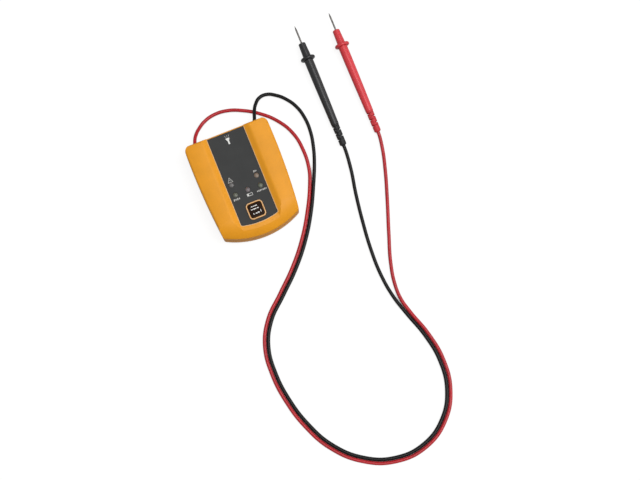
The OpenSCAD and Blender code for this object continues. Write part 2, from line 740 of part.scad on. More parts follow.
// Circuit board with holes for the posts' screws, the lamp legs and the contact tabs
module circuit_board() {
    legs = [-leg_pitch / 2, leg_pitch / 2];
    color("#1f5a34") difference() {
        plan_slab(board_inset, board_z, board_h);
        translate([-big / 2, board_top_y, board_z - 1]) cube([big, big, board_t + 2]);
        for (p = posts) translate([p[0], p[1], board_z - 1])
            cylinder(d = screw_d + 0.5, h = board_t + 2, $fn = 32);
        for (p = lamps, x = legs) translate([p[0], p[1], board_z - 1]) rotate([0, 0, p[2]])
            translate([x, 0, 0]) cylinder(d = leg_hole_d, h = board_t + 2, $fn = 16);
        for (x = legs) translate([x, torch_leg_y, board_z - 1])
            cylinder(d = leg_hole_d, h = board_t + 2, $fn = 16);
        for (x = [-cell_pitch / 2, cell_pitch / 2])
            translate([x - tab_w / 2 - 0.2, bay_top_y - contact_t - 0.1, board_z - 1])
                cube([tab_w + 0.4, contact_t + 0.2, board_t + 2]);
    }
}

// Buzzer with the sound hole in its top
module buzzer() {
    color("#181818") translate([buzzer_x, buzzer_y, board_h]) difference() {
        cylinder(d = buzzer_d, h = buzzer_h, $fn = 64);
        translate([0, 0, buzzer_h - 1]) cylinder(d = 2.2, h = 2, $fn = 32);
    }
}

// Controller chip with its two rows of legs
module controller_chip() {
    color("#1c1c1c") translate([0, chip_y, board_h]) {
        translate([-5, -2, 0.15]) cube([10, 4, 1.5]);
        for (i = [0:6], s = [-1, 1]) translate([-3.9 + 1.27 * i, s > 0 ? 1.9 : -3, 0]) cube([0.4, 1.1, 0.3]);
    }
}

module smoothing_capacitor() {
    color("#26304a") translate([can_x, can_y, board_h]) cylinder(d = can_d, h = can_h, $fn = 48);
}

// Disc resistor that protects one lead's input, standing on its two legs
module protection(x) {
    rise = 0.8;
    color("#b5762a") translate([x, disc_y, board_h]) {
        translate([-disc_t / 2, 0, rise + disc_d / 2]) rotate([0, 90, 0])
            cylinder(d = disc_d, h = disc_t, $fn = 48);
        for (y = [-disc_d / 3, disc_d / 3]) translate([0, y, 0])
            cylinder(d = 0.7, h = rise + disc_d / 4, $fn = 16);
    }
}
module protection_left() { protection(-disc_x); }
module protection_right() { protection(disc_x); }

// A cell along Y with its button towards +Y, button face at the origin
module cell() {
    rotate([90, 0, 0]) {
        cylinder(d = 3.8, h = 1, $fn = 32);
        translate([0, 0, 0.8]) cylinder(d = cell_d, h = cell_len - 0.8, $fn = 64);
    }
}
module cell_right() {
    color("#3a3a3a") translate([cell_pitch / 2, bay_top_y - contact_t, cell_z]) cell();
}
module cell_left() {
    color("#3a3a3a") translate([-cell_pitch / 2, bay_low_y + contact_t, cell_z]) rotate([0, 0, 180]) cell();
}

// Contact plate in the XZ plane, its face at y = 0, w wide, from z0 up to z1
module contact_plate(w, z0, z1) {
    translate([-w / 2, 0, z0]) cube([w, contact_t, z1 - z0]);
}

// Pressed dome that springs against a cell's flat end, pointing towards -Y
module spring_dome() {
    translate([0, eps, cell_z]) rotate([90, 0, 0])
        cylinder(d1 = 7, d2 = 2.4, h = contact_dome + eps, $fn = 48);
}

module contact_positive() {
    color(steel) translate([cell_pitch / 2, bay_top_y - contact_t, 0]) {
        contact_plate(9, floor_t + 0.5, board_z);
        contact_plate(tab_w, board_z - 1, board_h + 0.6);
    }
}
module contact_negative() {
    color(steel) translate([-cell_pitch / 2, bay_top_y - contact_t, 0]) {
        contact_plate(9, floor_t + 0.5, board_z);
        contact_plate(tab_w, board_z - 1, board_h + 0.6);
        spring_dome();
    }
}
module contact_bridge() {
    color(steel) translate([0, bay_low_y, 0]) {
        contact_plate(cell_pitch + 9, floor_t + 2, board_z);
        translate([cell_pitch / 2, contact_t, 0]) mirror([0, 1, 0]) spring_dome();
    }
}

// A pan-head screw, tip up, the underside of its head at z = 0
module screw(d, len, head_d, head_h) {
    difference() {
        union() {
            cylinder(d = d, h = len - d / 2, $fn = 32);
            translate([0, 0, len - d / 2 - eps]) cylinder(d1 = d, d2 = d / 4, h = d / 2 + eps, $fn = 32);
            translate([0, 0, -head_h]) cylinder(d1 = head_d * 0.8, d2 = head_d, h = head_h / 2, $fn = 32);
            translate([0, 0, -head_h / 2]) cylinder(d = head_d, h = head_h / 2, $fn = 32);
        }
        for (a = [0, 90]) rotate([0, 0, a]) translate([-head_d * 0.3, -0.3, -head_h - 1])
            cube([head_d * 0.6, 0.6, 2]);
    }
}

module case_screws() {
    color(steel) for (p = posts) translate([p[0], p[1], screw_recess])
        screw(screw_d, screw_len, screw_head_d, screw_head_h);
}

module cover_screw() {
    color(steel) translate([0, cover_screw_y, 0]) difference() {
        union() {
            cylinder(d1 = cover_head_d, d2 = cover_screw_d, h = cover_t - 0.05, $fn = 32);
            cylinder(d = cover_screw_d, h = cover_screw_len, $fn = 32);
        }
        for (a = [0, 90]) rotate([0, 0, a]) translate([-1.4, -0.25, -1]) cube([2.8, 0.5, 1.7]);
    }
}

// Rubber grommet gripped by the end wall, bored for its lead
module grommet(x) {
    bore_r = lead_d / 2 + grommet_gap;
    color("#1d1d1f") translate([x, 0, split_h]) rotate([-90, 0, 0]) rotate_extrude($fn = 64) polygon([
        [bore_r, grommet_in], [rim_d / 2, grommet_in], [rim_d / 2, end_y - wall],
        [neck_d / 2, end_y - wall], [neck_d / 2, end_y], [rim_d / 2, end_y],
        [rim_d / 2, grommet_out - 0.4], [rim_d / 2 - 0.4, grommet_out], [bore_r, grommet_out]]);
}
module red_grommet() { grommet(-exit_x); }
module black_grommet() { grommet(exit_x); }

// Stretch of a lead inside the case: through the grommet, then the bared conductor up to the board
module lead_tail(x, tint) {
    color(tint) translate([x, 0, split_h]) {
        translate([0, tail_y, 0]) rotate([-90, 0, 0])
            cylinder(d = lead_d, h = grommet_out - tail_y, $fn = 48);
        translate([0, core_y, 0]) rotate([-90, 0, 0])
            cylinder(d = core_d, h = tail_y - core_y + eps, $fn = 32);
        translate([0, core_y, 0]) sphere(d = core_d, $fn = 32);
        translate([0, core_y, 0]) cylinder(d = core_d, h = board_z - split_h, $fn = 32);
    }
}
module red_lead_tail() { lead_tail(-exit_x, "#b8323c"); }
module black_lead_tail() { lead_tail(exit_x, "#2a2a2c"); }

probe_dir = [0, cos(tilt), sin(tilt)];
module red_lead() { color("#b8323c") sweep(red_route, lead_d / 2, 8, [0, 1, 0], probe_dir); }
module black_lead() { color("#2a2a2c") sweep(black_route, lead_d / 2, 8, [0, 1, 0], probe_dir); }

// Puts a probe piece, made upright with its lead end at the origin, down on its guard and boot
module laid(x) {
    translate([x, probe_y, boot_z]) rotate([tilt - 90, 0, 0]) children();
}

// Radius of the grip at t from its boot (0) to the guard (1)
function grip_r(t) = tail_d / 2 + (grip_d - tail_d) / 2 * sin(90 * t);

// Turned handle: grip, finger guard with its rounded rim, and nose with a dished front
module handle_form() {
    guard_low = guard_z - guard_t / 2;
    guard_high = guard_z + guard_t / 2;
    rim_c = guard_d / 2 - guard_rim / 2;
    rim_a = asin(guard_t / guard_rim);
    steps = 8;
    difference() {
        rotate_extrude($fn = 64) polygon(concat(
            [[0, boot_len]],
            [for (i = [0:steps]) [grip_r(i / steps), boot_len + (guard_low - boot_len) * i / steps]],
            arc([rim_c, guard_z], guard_rim / 2, rim_a - 180, 180 - rim_a, 14),
            [[nose_d / 2, guard_high], [front_d / 2, handle_len - 0.6], [front_d / 2 - 0.6, handle_len],
                [2.6, handle_len], [1.8, handle_len - 1], [0, handle_len - 1]]));
        translate([0, 0, handle_len - needle_in - 0.05])
            cylinder(d = needle_d + 0.1, h = needle_in + 1, $fn = 32);
        translate([0, 0, boot_len - 1]) cylinder(d = spigot_d + 0.1, h = spigot_len + 1.05, $fn = 32);
    }
}

// Slot round the boot down to its core, with a web left on one side
module boot_slot() {
    difference() {
        translate([0, 0, -slot_w / 2]) cylinder(d = boot_d + 2, h = slot_w, $fn = 64);
        translate([0, 0, -slot_w]) cylinder(d = slot_core, h = 2 * slot_w, $fn = 48);
        translate([0, -slot_web / 2, -slot_w]) cube([boot_d, slot_web, 2 * slot_w]);
    }
}

// Boot with slots whose webs alternate, so that it bends with the lead, and a spigot in the handle
module boot_form() {
    difference() {
        union() {
            rotate_extrude($fn = 64) polygon(concat(
                [[0, 0]],
                arc([boot_end_d / 2 - boot_round, boot_round], boot_round, -90, 0, 6),
                [[boot_end_d / 2, slot_start - 1.4], [boot_d / 2, boot_len], [0, boot_len]]));
            translate([0, 0, boot_len - eps]) cylinder(d = spigot_d, h = spigot_len + eps, $fn = 32);
        }
        for (i = [0:slots - 1]) translate([0, 0, slot_start + i * slot_pitch]) rotate([0, 0, 180 * (i % 2)])
            boot_slot();
    }
}

// Needle with a tapered point
module needle_form() {
    translate([0, 0, handle_len - needle_in])
        cylinder(d = needle_d, h = needle_in + needle_len - point_len, $fn = 32);
    translate([0, 0, handle_len + needle_len - point_len])
        cylinder(d1 = needle_d, d2 = 0.3, h = point_len, $fn = 32);
}

module red_handle() { color("#d8404c") laid(red_x) handle_form(); }
module red_boot() { color("#c83844") laid(red_x) boot_form(); }
module red_needle() { color(steel) laid(red_x) needle_form(); }
module black_handle() { color("#303032") laid(black_x) handle_form(); }
module black_boot() { color("#28282a") laid(black_x) boot_form(); }
module black_needle() { color(steel) laid(black_x) needle_form(); }

top_shell();
bottom_shell();
battery_cover();
panel_film();
button_key();
switch_plunger();
switch_body();
lamp_high_left();
lamp_high_right();
lamp_low_left();
lamp_low_right();
lamp_battery();
torch_lamp();
circuit_board();
buzzer();
controller_chip();
smoothing_capacitor();
protection_left();
protection_right();
cell_left();
cell_right();
contact_positive();
contact_negative();
contact_bridge();
case_screws();
cover_screw();
red_grommet();
black_grommet();
red_lead_tail();
black_lead_tail();
red_lead();
black_lead();
red_handle();
red_boot();
red_needle();
black_handle();
black_boot();
black_needle();
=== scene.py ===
# Dressed model of a two-probe continuity tester, lying on its back on a pale table.
# Shapes are worked out in millimetres and become metres where a mesh, a curve or a material is made.
import math

import bmesh
import bpy
import numpy as np
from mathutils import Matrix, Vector


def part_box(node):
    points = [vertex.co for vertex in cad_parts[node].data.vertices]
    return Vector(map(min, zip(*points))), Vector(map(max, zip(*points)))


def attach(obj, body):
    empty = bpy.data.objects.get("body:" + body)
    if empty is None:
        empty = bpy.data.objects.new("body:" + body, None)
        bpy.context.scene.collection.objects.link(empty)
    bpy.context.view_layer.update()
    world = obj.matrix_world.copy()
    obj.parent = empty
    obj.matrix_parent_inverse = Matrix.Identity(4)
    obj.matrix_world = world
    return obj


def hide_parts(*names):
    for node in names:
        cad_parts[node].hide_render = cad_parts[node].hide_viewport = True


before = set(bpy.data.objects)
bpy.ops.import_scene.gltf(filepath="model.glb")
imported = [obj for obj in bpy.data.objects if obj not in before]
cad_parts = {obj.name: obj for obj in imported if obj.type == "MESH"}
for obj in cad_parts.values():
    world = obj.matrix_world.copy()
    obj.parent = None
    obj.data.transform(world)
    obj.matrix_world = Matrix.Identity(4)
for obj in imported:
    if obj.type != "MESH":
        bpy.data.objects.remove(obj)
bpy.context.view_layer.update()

bl_info = {
    "name": "Continuity Tester",
    "version": (1, 0, 0),
    "blender": (4, 5, 0),
    "location": "View3D > Sidebar > Tester",
    "description": "Dresses the packed solids of a two-probe continuity tester",
    "category": "Object",
}

MM = 0.001


# Sizes that follow the solids

def top_of(node):
    """Height of a node's highest point, in millimetres."""
    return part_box(node)[1].z / MM


def middle_of(node):
    """Centre of a node's box, in millimetres."""
    low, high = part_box(node)
    return [(low[axis] + high[axis]) / 2 / MM for axis in range(3)]


# Plan of the case, in millimetres, with the values of the solids' source

CASE_END_MM = 54.75
CASE_HALF_MM = 44.25
WIDEST_MM = 32
SIDE_MM = 680
ARC_MM = 83
CORNER_MM = 6.5
LOW_CORNER_MM = 3
SPLIT_MM = 12
FILM_GAP_MM = 11.8
FRAME_MM = 16.1
FRAME_CORNER_MM = 3.15
FRAME_TOP_MM = 25.6

# Small trim and bands that only the scene has, in millimetres

SEAM_HALF_MM = 0.16
SEAM_PROUD_MM = 0.04
SEAM_SUNK_MM = 0.05
LIP_AWAY_MM = 0.2
LIP_LIFT_MM = 0.28
LIP_HALF_MM = 0.32
LIP_RISE_MM = 0.26
LIP_JOIN_MM = 0.6
BEAD_HALF_MM = 0.45
PRINT_MM = 0.03
KEY_DOME_MM = 70.0
BAND_NEAR_MM = 1.1
BAND_FAR_MM = 12

# Pieces on the end of each lead, and the gloss of each jacket

PROBE_PARTS = ("boot", "handle", "needle")
RED_GLOSS = 0.42
BLACK_GLOSS = 0.24

# Routes of the leads over the table, in millimetres

LEAD_MM = 3.6
LEAD_LIFT_MM = 0.1
LEAD_GAP_MM = 0.25
BOOT_MM = 6.9
BOOT_PLACE_MM = 3
BOOT_LIFT_MM = 0.02
GUARD_MM = 15.3
GUARD_PLACE_MM = 96.5
REST_MM = LEAD_MM / 2 + LEAD_LIFT_MM
PAIR_MM = LEAD_MM + LEAD_GAP_MM
TILT = math.asin((GUARD_MM - BOOT_MM) / 2 / (GUARD_PLACE_MM - BOOT_PLACE_MM))
BOOT_Z_MM = BOOT_MM / 2 * math.cos(TILT) - BOOT_PLACE_MM * math.sin(TILT) + BOOT_LIFT_MM

RUN = [
    (62.4, -22), (48.8, -48.7), (33, -72.9), (13.6, -95.6), (-7.6, -115.4), (-27.5, -134.2), (-40, -157.5),
    (-43.4, -186), (-40.4, -215.2), (-32.4, -243.6), (-17.9, -271.6), (6.2, -295), (35.8, -307.1),
    (67.6, -305.2), (94.2, -288.8), (110.2, -263.2), (114.8, -234), (111, -206), (102.3, -178.2),
]
RED_START = [
    (-32, 55.95, 12), (-31, 60, 10.6), (-28, 66.4, 7), (-22.2, 73, 3.4), (-13.4, 78.8, REST_MM),
    (-1.9, 81.5, REST_MM), (11.2, 80.4, REST_MM), (25.7, 74.7, REST_MM), (40.9, 65, REST_MM),
    (54.7, 51.3, REST_MM), (64.3, 33.8, REST_MM), (67.5, 14, REST_MM), (65.6, -7, REST_MM),
]
RED_END = [
    (100.8, -163, REST_MM), (101, -147, REST_MM), (105.2, -126.4, REST_MM), (115.1, -97.4, REST_MM),
    (126.8, -65, REST_MM), (136.7, -35.5, REST_MM), (142.6, -13, 2.2), (144.5, 2.5, BOOT_Z_MM),
]
BLACK_START = [
    (32, 55.95, 12), (33.5, 60.4, 10.8), (36, 67.4, 7.4), (40, 75, 3.6), (46.5, 80.8, REST_MM),
    (54.4, 81.3, REST_MM), (63.1, 76.8, REST_MM), (71.1, 69.2, REST_MM), (78, 57.8, REST_MM),
    (81.4, 43.9, REST_MM), (81.4, 28.6, REST_MM), (78.1, 12.2, REST_MM), (72.4, -4.5, REST_MM),
]
BLACK_END = [
    (94.9, -159, REST_MM), (91.7, -134, REST_MM), (92.2, -106, REST_MM), (95.4, -76, REST_MM),
    (99.8, -47.5, REST_MM), (104.8, -22, 2), (107, 2.5, BOOT_Z_MM),
]


def beside(run, offset):
    """The run moved sideways: each point goes by offset along the normal of the line between its neighbours."""
    points = np.array(run, float)
    ahead = np.vstack([points[1:], points[-1:]])
    behind = np.vstack([points[:1], points[:-1]])
    along = ahead - behind
    along /= np.linalg.norm(along, axis=1)[:, None]
    normal = np.stack([along[:, 1], -along[:, 0]], axis=1)
    moved = points + normal * offset
    return np.column_stack([moved, np.full(len(moved), REST_MM)])


# Surfaces

class Form:
    """Grids of points, in millimetres, that are gathered into one mesh."""

    def __init__(self):
        self.points = []
        self.faces = []
        self.count = 0

    def grid(self, points, round_rows=False):
        """Adds rows by columns of points, with a face in each cell.

        round_rows joins the last row to the first.
        """
        rows, columns = points.shape[:2]
        index = np.arange(rows * columns).reshape(rows, columns) + self.count
        if round_rows:
            index = np.vstack([index, index[:1]])
        cells = np.stack([index[:-1, :-1], index[:-1, 1:], index[1:, 1:], index[1:, :-1]], axis=-1)
        self.points.append(points.reshape(-1, 3))
        self.faces.append(cells.reshape(-1, 4))
        self.count += rows * columns
        return self

    def thing(self, name, material, smooth=True):
        """Makes the mesh object, in metres."""
        mesh = bpy.data.meshes.new(name)
        mesh.from_pydata((np.vstack(self.points) * MM).tolist(), [], np.vstack(self.faces).tolist())
        mesh.polygons.foreach_set("use_smooth", np.full(len(mesh.polygons), smooth))
        mesh.update()
        mesh.validate()
        mesh.materials.append(material)
        thing = bpy.data.objects.new(name, mesh)
        bpy.context.collection.objects.link(thing)
        return thing

    def piece(self, name, material, body, slot, smooth=True):
        """Makes the mesh object and lets it ride on its body."""
        thing = self.thing(name, material, smooth)
        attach(thing, body)


def rounded_square(width, radius, steps=8):
    """Outline of a square with quarter-circle corners, and its outward normals.

    Each corner is its centre plus radius times (cos, sin).
    """
    angle = np.radians(np.linspace(0, 90, steps + 1))
    corner = np.stack([np.cos(angle), np.sin(angle)], axis=1)
    turns = [np.array([[c, -s], [s, c]]) for c, s in ((1, 0), (0, 1), (-1, 0), (0, -1))]
    normals = np.vstack([corner @ turn.T for turn in turns])
    middle = np.vstack([np.tile(turn @ np.full(2, width / 2 - radius), (steps + 1, 1)) for turn in turns])
    return middle + radius * normals, normals


def case_outline():
    """Plan of the case and its outward normals, the right half first and then its mirror image.

    The bottom arc, a small corner, the bowed side and the upper corner are each a circle's centre
    plus radius times (sin, -cos). The small corner's centre is where circles about the other two
    centres cross, each smaller than its own by the corner's radius.
    """
    arc_y, side_x = ARC_MM - CASE_END_MM, CASE_HALF_MM - SIDE_MM
    rise, run = WIDEST_MM - arc_y, -side_x
    apart = math.hypot(rise, run)
    near, far = ARC_MM - LOW_CORNER_MM, SIDE_MM - LOW_CORNER_MM
    along = (near ** 2 - far ** 2 + apart ** 2) / (2 * apart)
    off = math.sqrt(near ** 2 - along ** 2)
    toward = np.array([-run, rise]) / apart
    low = np.array([0, arc_y]) + along * toward + off * np.array([-toward[1], toward[0]])
    high_y = CASE_END_MM - CORNER_MM
    high = np.array([side_x + math.sqrt((SIDE_MM - CORNER_MM) ** 2 - (high_y - WIDEST_MM) ** 2), high_y])
    turn_arc = math.atan2(low[0], arc_y - low[1])
    turn_low = math.atan2(low[0] - side_x, WIDEST_MM - low[1])
    turn_high = math.atan2(high[0] - side_x, WIDEST_MM - high[1])
    spans = (
        ((0, arc_y), ARC_MM, 0, turn_arc, 40), (low, LOW_CORNER_MM, turn_arc, turn_low, 8),
        ((side_x, WIDEST_MM), SIDE_MM, turn_low, turn_high, 60), (high, CORNER_MM, turn_high, math.pi, 12))
    points, normals = [], []
    for centre, radius, first, last, steps in spans:
        turn = np.linspace(first, last, steps, endpoint=False)
        normal = np.stack([np.sin(turn), -np.cos(turn)], axis=1)
        normals.append(normal)
        points.append(np.array(centre) + radius * normal)
    points.append(np.array([[high[0], CASE_END_MM], [0, CASE_END_MM]]))
    normals.append(np.array([[0, 1], [0, 1]]))
    points, normals = np.vstack(points), np.vstack(normals)
    mirror = np.array([-1, 1])
    return np.vstack([points, points[-2:0:-1] * mirror]), np.vstack([normals, normals[-2:0:-1] * mirror])


def ribbon(path, width, closed=False, step=0.5):
    """A flat stroke: equal steps along the path, each moved half the width to the left and to the right."""
    corners = np.array(list(path) + ([path[0]] if closed else []), float)
    legs = np.linalg.norm(np.diff(corners, axis=0), axis=1)
    marks = []
    for start, end, leg in zip(corners[:-1], corners[1:], legs):
        share = np.linspace(0, 1, max(2, int(leg / step) + 1), endpoint=False)[:, None]
        marks.append(start + (end - start) * share)
    points = np.vstack(marks if closed else marks + [corners[-1:]])
    ahead = np.roll(points, -1, axis=0) - points
    behind = points - np.roll(points, 1, axis=0)
    if not closed:
        ahead[-1] = behind[-1]
        behind[0] = ahead[0]
    ahead /= np.linalg.norm(ahead, axis=1)[:, None]
    behind /= np.linalg.norm(behind, axis=1)[:, None]
    along = ahead + behind
    along /= np.linalg.norm(along, axis=1)[:, None]
    reach = width / 2 / np.maximum((along * ahead).sum(axis=1), 0.5)
    normal = np.stack([-along[:, 1], along[:, 0]], axis=1) * reach[:, None]
    return np.stack([points + normal, points - normal], axis=1)


def slab(x, y, width, height, slant=0.0, step=1.0):
    """A flat rectangle about (x, y): a grid whose rows are pushed sideways by slant times their height."""
    u = np.linspace(-width / 2, width / 2, max(2, int(width / step) + 2))
    v = np.linspace(-height / 2, height / 2, max(2, int(height / step) + 2))
    across, up = np.meshgrid(u, v)
    return np.stack([x + across + slant * up, y + up], axis=-1)


def printed(flats, height, clear=0.002):
    """Marks laid on a surface: each flat grid is lifted by height(x, y) and gets a skirt down to it."""
    form = Form()
    for flat, closed in flats:
        z = height(flat[..., 0], flat[..., 1])
        top = np.dstack([flat, z + PRINT_MM])
        low = np.dstack([flat, z + clear])
        form.grid(top, round_rows=closed)
        if closed:
            for side in (0, -1):
                edge = [low[:, side], top[:, side]] if side == 0 else [top[:, side], low[:, side]]
                form.grid(np.stack(edge, axis=1), round_rows=True)
        else:
            around = [np.concatenate([g[0, :], g[1:, -1], g[-1, -2::-1], g[-2:0:-1, 0]]) for g in (top, low)]
            form.grid(np.stack(around, axis=1), round_rows=True)
    return form


# Stage: each lamp's share of the lamps' strength, its spread in degrees and the direction it comes from

TABLE_MM = 6000
LAMPS = {
    "key_light": (0.86, 40, (0.3, -0.12, 1.0)),
    "side_light": (0.46, 62, (1.0, -0.26, 0.28)),
    "fill_light": (0.1, 60, (-0.9, 0.1, 1.2)),
}


# Shader maths

def linear(red, green, blue):
    """A colour given as 0 to 255 per channel, in linear light with alpha."""
    share = np.array([red, green, blue]) / 255
    light = np.where(share <= 0.04045, share / 12.92, ((share + 0.055) / 1.055) ** 2.4)
    return (*light.tolist(), 1.0)


class Value:
    """A shader socket that Python's operators work on; each operation adds a Math node."""

    def __init__(self, finish, socket):
        self.finish = finish
        self.socket = socket

    def math(self, operation, *terms):
        return self.finish.node("ShaderNodeMath", {"operation": operation}, dict(enumerate(terms)))

    def __add__(self, other):
        return self.math("ADD", self, other)

    __radd__ = __add__

    def __sub__(self, other):
        return self.math("SUBTRACT", self, other)

    def __rsub__(self, other):
        return self.math("SUBTRACT", other, self)

    def __mul__(self, other):
        return self.math("MULTIPLY", self, other)

    def __pow__(self, other):
        return self.math("POWER", self, other)

    def rises(self, low, high):
        """0 below low, 1 above high, and a smooth step between them."""
        return self.finish.node(
            "ShaderNodeMapRange", {"interpolation_type": "SMOOTHSTEP"},
            {0: self, 1: low, 2: high, 3: 0.0, 4: 1.0})

    def sine(self):
        return self.math("SINE", self)


class Shading:
    """A node tree, of a material or a world, that is built up node by node."""

    def __init__(self, owner):
        owner.use_nodes = True
        self.tree = owner.node_tree
        self.tree.nodes.clear()

    def node(self, kind, settings=None, inputs=None, output=0):
        """Adds a node: its settings first, then its sockets' values or links."""
        node = self.tree.nodes.new(kind)
        for key, value in (settings or {}).items():
            setattr(node, key, value)
        for key, value in (inputs or {}).items():
            if isinstance(value, Value):
                self.tree.links.new(value.socket, node.inputs[key])
            else:
                node.inputs[key].default_value = value
        return Value(self, node.outputs[output]) if node.outputs else None


class Finish(Shading):
    """A material, with what its finishes share."""

    def __init__(self, name):
        self.material = bpy.data.materials.new(name)
        super().__init__(self.material)
        self.place = self.node("ShaderNodeTexCoord", output="Object")

    def axis(self, name):
        """The X, Y or Z of the point, in metres."""
        return self.node("ShaderNodeSeparateXYZ", None, {0: self.place}, name)

    def noise(self, grain_mm, detail=2.0):
        """Noise with lumps of grain_mm."""
        return self.node(
            "ShaderNodeTexNoise", None, {"Vector": self.place, "Scale": 1 / (grain_mm * MM), "Detail": detail})

    def mix(self, share, first, second):
        """Colour first where share is 0 and second where it is 1."""
        return self.node("ShaderNodeMix", {"data_type": "RGBA"}, {0: share, 6: first, 7: second}, 2)

    def bump(self, height, depth_mm):
        """The normal of a surface that rises by depth_mm where height goes from 0 to 1."""
        return self.node("ShaderNodeBump", None, {"Height": height, "Distance": depth_mm * MM, "Strength": 1.0})

    def done(self, colour, roughness, normal=None, **fixed):
        """Feeds the surface and sets its constants on the shader's own sockets."""
        inputs = {"Base Color": colour, "Roughness": roughness}
        inputs.update({key.replace("_", " "): value for key, value in fixed.items()})
        if normal is not None:
            inputs["Normal"] = normal
        return self.surface(self.node("ShaderNodeBsdfPrincipled", None, inputs))

    def surface(self, surface):
        """Ends the material in a shader."""
        self.node("ShaderNodeOutputMaterial", None, {"Surface": surface})
        return self.material


def shade(colour, factor):
    """The colour times factor: lighter and darker tones of a mottled finish, and darker copies used as painted
    shade.
    """
    return (*[min(channel * factor, 1.0) for channel in colour[:3]], 1.0)


def moulded_plastic(name, colour, roughness, grain_mm=0.35, depth_mm=0.02, mottle=0.05, gloss=0.5):
    """Moulded plastic: cloudy colour on a large scale, and the fine pitted grain of a spark-eroded mould."""
    finish = Finish(name)
    cloud = finish.noise(18, detail=3.0)
    pits = finish.noise(grain_mm, detail=3.0)
    speck = finish.noise(1.4)
    share = (cloud * 0.7 + speck * 0.3).rises(0.3, 0.7)
    tint = finish.mix(share, shade(colour, 1 - mottle), shade(colour, 1 + mottle))
    rough = roughness + (speck - 0.5) * 0.10 + (pits - 0.5) * 0.08
    return finish.done(tint, rough, finish.bump(pits, depth_mm), Specular_IOR_Level=gloss)


def cord_skin(name, colour, roughness, gloss):
    """Soft extruded jacket: faint long streaks from the die, small dull rub marks and a fine ripple."""
    finish = Finish(name)
    cloud = finish.noise(22)
    rub = finish.noise(2.6, detail=3.0)
    ripple = finish.noise(0.6)
    tint = finish.mix(cloud.rises(0.3, 0.7), shade(colour, 0.92), shade(colour, 1.08))
    worn = finish.mix(rub.rises(0.62, 0.8) * 0.25, tint, shade(colour, 1.35))
    rough = roughness + (rub - 0.5) * 0.16
    return finish.done(worn, rough, finish.bump(ripple, 0.02), Specular_IOR_Level=gloss)


def film_skin(name, colour):
    """Printed polyester film: a fine even texture and a faint satin cloudiness."""
    finish = Finish(name)
    cloud = finish.noise(14)
    weave = finish.noise(0.22)
    tint = finish.mix(cloud.rises(0.25, 0.75), shade(colour, 0.93), shade(colour, 1.07))
    return finish.done(tint, 0.52 + (weave - 0.5) * 0.14, finish.bump(weave, 0.012), Specular_IOR_Level=0.25)


def ink(name, colour):
    """Screen-printed ink: a slightly uneven edge of tone and a faint mesh."""
    finish = Finish(name)
    mesh = finish.noise(0.25)
    tint = finish.mix(mesh.rises(0.3, 0.75), shade(colour, 0.86), colour)
    return finish.done(tint, 0.5 + (mesh - 0.5) * 0.2, finish.bump(mesh, 0.01))


def lens(name, colour, x_mm, y_mm, die):
    """Clear moulded lens about (x_mm, y_mm), seen from above.

    It has painted shade in a thin dark rim where it turns down, a faint paler ring of its cup, and the die in
    its middle.
    """
    finish = Finish(name)
    off_x = finish.axis("X") - x_mm * MM
    off_y = finish.axis("Y") - y_mm * MM
    away = (off_x * off_x + off_y * off_y) ** 0.5
    rim_shade_mask = away.rises(2.15 * MM, 2.5 * MM)
    cup = away.rises(1.0 * MM, 1.35 * MM) * (1 - away.rises(1.5 * MM, 1.9 * MM))
    centre = 1 - away.rises(0.3 * MM, 0.7 * MM)
    cloud = finish.noise(1.2)
    body = finish.mix(cloud.rises(0.3, 0.7), shade(colour, 0.92), shade(colour, 1.08))
    ringed = finish.mix(cup * 0.35, body, shade(colour, 1.5))
    lit = finish.mix(centre * 0.3, ringed, die)
    # Painted shade: the lens is darkened towards its rim, where the dome turns down.
    rim_shaded = finish.mix(rim_shade_mask * 0.5, lit, shade(colour, 0.45))
    return finish.done(rim_shaded, 0.3 + cloud * 0.08, finish.bump(cloud, 0.01), Specular_IOR_Level=0.35)


def torch_lens(name, colour):
    """Water-clear lens of the torch lamp: pale, and darker towards its base."""
    finish = Finish(name)
    cloud = finish.noise(1.0)
    depth = finish.axis("Y").rises(0.045, 0.054)
    body = finish.mix(depth, shade(colour, 0.8), colour)
    tint = finish.mix(cloud.rises(0.3, 0.7) * 0.4, body, shade(colour, 0.88))
    return finish.done(tint, 0.1 + cloud * 0.06, None, Coat_Weight=0.6, Coat_Roughness=0.05)


def turned_metal(name, colour, roughness, groove_mm, axis="Y"):
    """Plated turned metal: fine rings along its axis, with a few duller patches."""
    finish = Finish(name)
    rings = (finish.axis(axis) * (2 * math.pi / (groove_mm * MM))).sine()
    dull = finish.noise(1.8, detail=3.0)
    tint = finish.mix(dull.rises(0.35, 0.75), shade(colour, 0.85), colour)
    rough = roughness + (dull - 0.5) * 0.12
    return finish.done(tint, rough, finish.bump(rings, 0.001), Metallic=1.0)


def board_skin(name, colour):
    """Solder-masked board: the glass weave under the mask, and paler tracks where copper lies under it."""
    finish = Finish(name)
    weave = ((finish.axis("X") * 5200).sine() * (finish.axis("Y") * 5200).sine()).rises(-0.4, 0.6)
    tracks = (finish.axis("X") * 1500 + (finish.axis("Y") * 700).sine() * 2).sine().rises(0.75, 0.85)
    base = finish.mix(weave * 0.5, shade(colour, 0.85), shade(colour, 1.1))
    tint = finish.mix(tracks * 0.7, base, shade(colour, 1.7))
    return finish.done(tint, 0.38 + (finish.noise(3) - 0.5) * 0.15, finish.bump(tracks, 0.03))


def cell_sleeve(name, body, band, low_mm, high_mm):
    """Shrink sleeve of a cell: a dark body and a coloured band between two places along Y."""
    finish = Finish(name)
    y = finish.axis("Y")
    past_low, past_high = (y.rises((edge - 0.1) * MM, (edge + 0.1) * MM) for edge in (low_mm, high_mm))
    share = past_low * (1 - past_high)
    cloud = finish.noise(3)
    dark = finish.mix(cloud, shade(body, 0.9), shade(body, 1.2))
    tint = finish.mix(share, dark, band)
    return finish.done(tint, 0.3 + (cloud - 0.5) * 0.15, finish.bump(cloud, 0.02))


